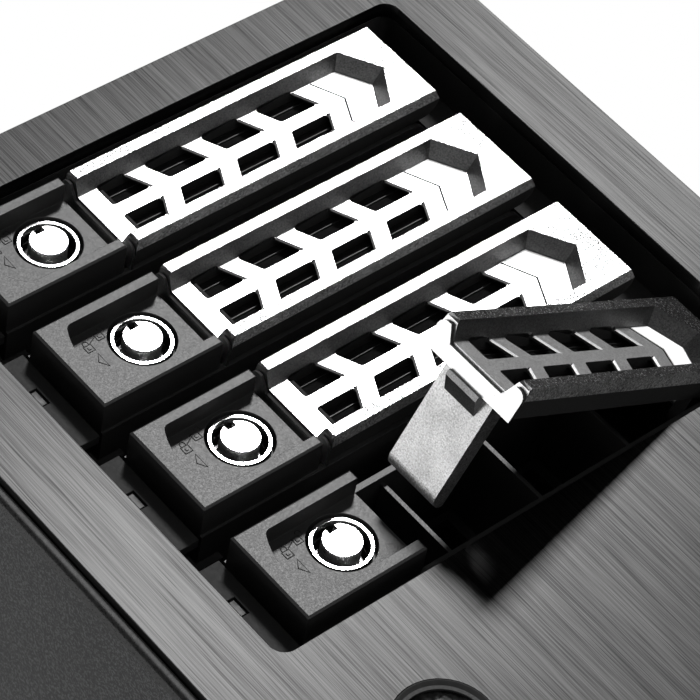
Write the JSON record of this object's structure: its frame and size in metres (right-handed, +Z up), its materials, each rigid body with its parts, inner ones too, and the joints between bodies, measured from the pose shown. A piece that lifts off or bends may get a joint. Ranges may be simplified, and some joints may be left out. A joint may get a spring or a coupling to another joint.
{
  "type": "external drive enclosure",
  "caption": "Upright desktop enclosure with a brushed front, lockable slide-out drive trays with cast grille levers, a rear fan and a power button.",
  "frame": {"origin": "on the floor, under the middle of the whole object's box with one lever standing open", "axes": "+X to the right seen from the front, +Y from the front panel to the back, +Z up"},
  "size_m": [0.1248, 0.2262, 0.1482],
  "materials": {
    "brushed_aluminium": "satin, brushed vertically",
    "black_moulding": "satin moulded",
    "tray_black": "fine matte texture",
    "powder_coat": "fine textured powder coat",
    "cast_silver": "satin cast and plated",
    "lock_chrome": "polished",
    "steel": "plain zinc-plated",
    "cage_steel": "black coated sheet",
    "rubber": "matte",
    "board": "solder mask over glass fibre",
    "connector": "moulded",
    "port_metal": "tinned",
    "light_pipe": "smoky",
    "fan_black": "moulded",
    "button_chrome": "dark polished",
    "button_gloss": "polished black"
  },
  "bodies": {
    "enclosure": {"front_panel": "brushed_aluminium", "front_bezel": "black_moulding", "status_light_pipes": "light_pipe", "outer_cover": "powder_coat", "cover_screws": "steel", "base_plate": "powder_coat", "rear_panel": "powder_coat", "rubber_feet": "rubber", "cage_right_side": "cage_steel", "cage_left_side": "cage_steel", "cage_top": "cage_steel", "cage_stand": "cage_steel", "cage_screws": "steel", "backplane_board": "board", "drive_sockets": "connector", "controller_board": "board", "usb_port": "port_metal", "power_inlet": "connector", "fan_frame": "fan_black", "fan_screws": "steel", "button_ring": "button_chrome", "button_board": "board"},
    "tray_1": {"tray_front_1": "tray_black", "tray_carrier_1": "tray_black", "tray_screws_1": "steel", "lock_barrel_1": "lock_chrome", "lever_pin_1": "steel"},
    "lever_swing_1": {"lever_1": "cast_silver"},
    "lock_core_1": {"lock_plug_1": "lock_chrome", "lock_cam_1": "steel"},
    "tray_2": {"tray_front_2": "tray_black", "tray_carrier_2": "tray_black", "tray_screws_2": "steel", "lock_barrel_2": "lock_chrome", "lever_pin_2": "steel"},
    "lever_swing_2": {"lever_2": "cast_silver"},
    "lock_core_2": {"lock_plug_2": "lock_chrome", "lock_cam_2": "steel"},
    "tray_3": {"tray_front_3": "tray_black", "tray_carrier_3": "tray_black", "tray_screws_3": "steel", "lock_barrel_3": "lock_chrome", "lever_pin_3": "steel"},
    "lever_swing_3": {"lever_3": "cast_silver"},
    "lock_core_3": {"lock_plug_3": "lock_chrome", "lock_cam_3": "steel"},
    "tray_4": {"tray_front_4": "tray_black", "tray_carrier_4": "tray_black", "tray_screws_4": "steel", "lock_barrel_4": "lock_chrome", "lever_pin_4": "steel"},
    "lever_swing_4": {"lever_4": "cast_silver"},
    "lock_core_4": {"lock_plug_4": "lock_chrome", "lock_cam_4": "steel"},
    "power_button": {"button_cap": "button_gloss"},
    "fan_blades": {"fan_rotor": "fan_black"}
  },
  "joints": [
    {"name": "tray_slide_1", "type": "slide", "parent": "enclosure", "child": "tray_1", "axis": [0, -1, 0], "range_m": [0, 0.105]},
    {"name": "lever_hinge_1", "type": "hinge", "parent": "tray_1", "child": "lever_swing_1", "pos_m": [0.0365, -0.0788, 0.12735], "axis": [0, 0, 1], "range_deg": [0, 28.5]},
    {"name": "lock_turn_1", "type": "hinge", "parent": "tray_1", "child": "lock_core_1", "pos_m": [-0.0263, -0.0887, 0.12815], "axis": [0, 1, 0], "range_deg": [0, 90]},
    {"name": "tray_slide_2", "type": "slide", "parent": "enclosure", "child": "tray_2", "axis": [0, -1, 0], "range_m": [0, 0.105]},
    {"name": "lever_hinge_2", "type": "hinge", "parent": "tray_2", "child": "lever_swing_2", "pos_m": [0.0365, -0.0788, 0.10535], "axis": [0, 0, 1], "range_deg": [0, 28.5]},
    {"name": "lock_turn_2", "type": "hinge", "parent": "tray_2", "child": "lock_core_2", "pos_m": [-0.0263, -0.0887, 0.10615], "axis": [0, 1, 0], "range_deg": [0, 90]},
    {"name": "tray_slide_3", "type": "slide", "parent": "enclosure", "child": "tray_3", "axis": [0, -1, 0], "range_m": [0, 0.105]},
    {"name": "lever_hinge_3", "type": "hinge", "parent": "tray_3", "child": "lever_swing_3", "pos_m": [0.0365, -0.0788, 0.08335], "axis": [0, 0, 1], "range_deg": [0, 28.5]},
    {"name": "lock_turn_3", "type": "hinge", "parent": "tray_3", "child": "lock_core_3", "pos_m": [-0.0263, -0.0887, 0.08415], "axis": [0, 1, 0], "range_deg": [0, 90]},
    {"name": "tray_slide_4", "type": "slide", "parent": "enclosure", "child": "tray_4", "axis": [0, -1, 0], "range_m": [0, 0.105]},
    {"name": "lever_hinge_4", "type": "hinge", "parent": "tray_4", "child": "lever_swing_4", "pos_m": [0.0365, -0.0788, 0.06135], "axis": [0, 0, 1], "range_deg": [-28.5, 0]},
    {"name": "lock_turn_4", "type": "hinge", "parent": "tray_4", "child": "lock_core_4", "pos_m": [-0.0263, -0.0887, 0.06215], "axis": [0, 1, 0], "range_deg": [0, 90]},
    {"name": "button_press", "type": "slide", "parent": "enclosure", "child": "power_button", "axis": [0, 1, 0], "range_m": [0, 0.0012], "stiffness_N_per_m": 900},
    {"name": "fan_spin", "type": "hinge", "parent": "enclosure", "child": "fan_blades", "pos_m": [0, 0.1026, 0.0962], "axis": [0, 1, 0], "continuous": true}
  ]
}
